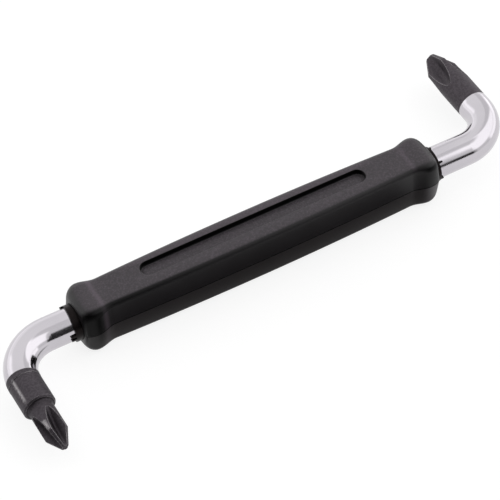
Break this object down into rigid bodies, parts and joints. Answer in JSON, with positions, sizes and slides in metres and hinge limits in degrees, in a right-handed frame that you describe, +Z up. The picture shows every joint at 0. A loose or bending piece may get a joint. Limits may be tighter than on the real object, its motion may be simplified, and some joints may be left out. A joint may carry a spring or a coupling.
{
  "type": "offset screwdriver",
  "caption": "Offset screwdriver: a bent chromed bar with a small and a large black cross tip on opposite arms, and a black moulded grip with collared ends and a long recess.",
  "frame": {"origin": "middle of the whole tool's box, on the ground that the grip rests on", "axes": "+X along the grip towards the arm with the large tip, +Y the way the large tip points, +Z up, out of the face with the recess; the small tip points to -Y"},
  "size_m": [0.1058, 0.0462, 0.0104],
  "materials": {
    "chromed_bar": "bright nickel-chrome plate",
    "black_oxide_tip": "black oxide on hardened steel, rubbed bright on its edges",
    "hard_sleeve": "hard black plastic",
    "grip_moulding": "black moulded plastic, fine matt grain"
  },
  "bodies": {
    "root": {"shank": "chromed_bar", "small_tip": "black_oxide_tip", "large_tip": "black_oxide_tip", "core_sleeve": "hard_sleeve", "grip": "grip_moulding"}
  },
  "joints": []
}
